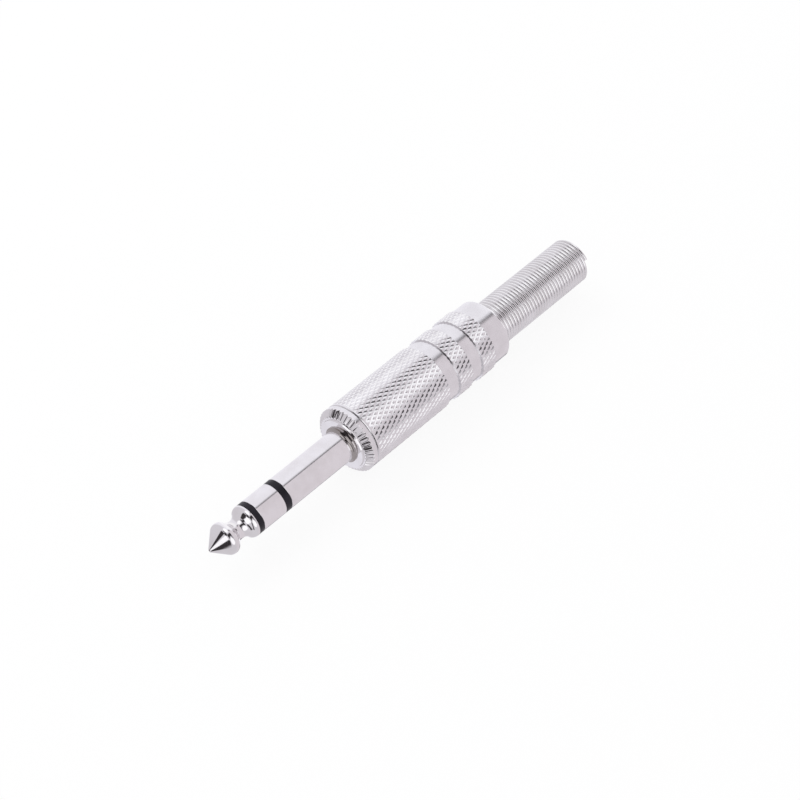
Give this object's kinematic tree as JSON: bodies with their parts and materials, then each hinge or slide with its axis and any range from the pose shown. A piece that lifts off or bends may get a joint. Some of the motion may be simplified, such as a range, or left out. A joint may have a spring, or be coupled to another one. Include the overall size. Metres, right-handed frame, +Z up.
{
  "type": "stereo jack plug",
  "caption": "All-metal three-contact audio jack plug with two black insulating rings, a knurled screw-on barrel and a close-wound spring for the cable.",
  "frame": {"origin": "on the plug's axis, in the middle of the sleeve, the shank's rear contact", "axes": "+X along the axis towards the spring and the cable, so the tip points to -X; +Z up, with the clamp's trough below the axis"},
  "size_m": [0.0966, 0.0132, 0.0132],
  "materials": {
    "polished_nickel": "bright nickel plate over turned brass",
    "satin_nickel": "satin nickel plate over knurled brass",
    "spring_wire": "nickel-plated spring wire",
    "tinned_brass": "tinned brass stamping",
    "black_plastic": "black moulded plastic",
    "natural_plastic": "unpigmented insulating plastic",
    "clear_plastic": "milky insulating tube"
  },
  "bodies": {
    "plug": {"tip_contact": "polished_nickel", "tip_insulator": "black_plastic", "core_tube": "natural_plastic", "ring_contact": "polished_nickel", "ring_insulator": "black_plastic", "sleeve_tube": "natural_plastic", "sleeve_body": "polished_nickel", "ground_clamp": "tinned_brass", "rear_insulator": "natural_plastic", "ring_lug": "tinned_brass", "lug_insulator": "natural_plastic", "tip_lug": "tinned_brass"},
    "inner_tube": {"liner": "clear_plastic"},
    "cable_relief": {"spring": "spring_wire"},
    "barrel": {"shell": "satin_nickel"}
  },
  "joints": [
    {"name": "shell_draw_off", "type": "slide", "parent": "plug", "child": "inner_tube", "axis": [1, 0, 0], "range_m": [0, 0.036]},
    {"name": "shell_advance", "type": "slide", "parent": "inner_tube", "child": "cable_relief", "axis": [1, 0, 0], "range_m": [0, 0.00487]},
    {"name": "shell_turn", "type": "hinge", "parent": "cable_relief", "child": "barrel", "pos_m": [0.0135, 0, 0], "axis": [1, 0, 0], "range_deg": [0, 2340]}
  ],
  "couplings": [
    {"joint": "shell_advance", "follows": "shell_turn", "m_per_rad": 0.00011937}
  ]
}
